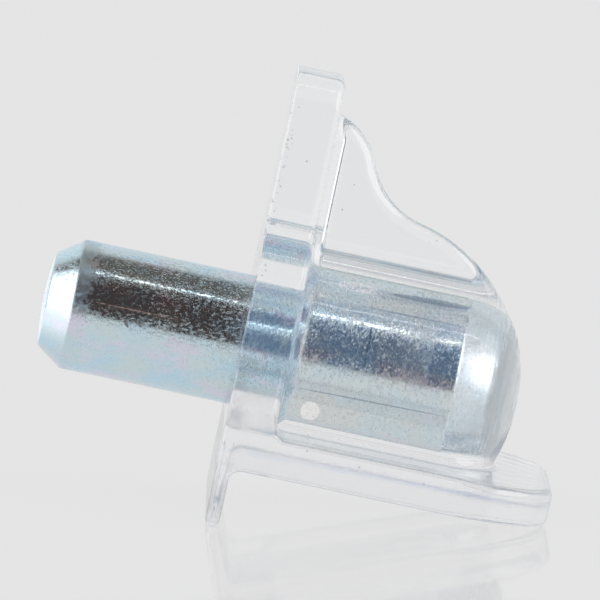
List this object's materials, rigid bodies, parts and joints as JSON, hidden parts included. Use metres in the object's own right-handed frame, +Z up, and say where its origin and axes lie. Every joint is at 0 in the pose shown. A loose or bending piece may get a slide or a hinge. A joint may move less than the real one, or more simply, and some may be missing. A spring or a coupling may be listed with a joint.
{
  "type": "shelf support pin",
  "caption": "Clear moulded bracket with a steel pin: plugs into a cabinet side and carries the shelf on its flange.",
  "frame": {"origin": "on the pin's axis, in the plane of the bracket's back face", "axes": "+X along the pin into the cabinet side, +Z up towards the shelf, Y across the bracket"},
  "size_m": [0.0204, 0.012, 0.017],
  "materials": {
    "clear_plastic": "gloss",
    "zinc_steel": "satin"
  },
  "bodies": {
    "root": {"body": "clear_plastic", "pin": "zinc_steel"}
  },
  "joints": []
}
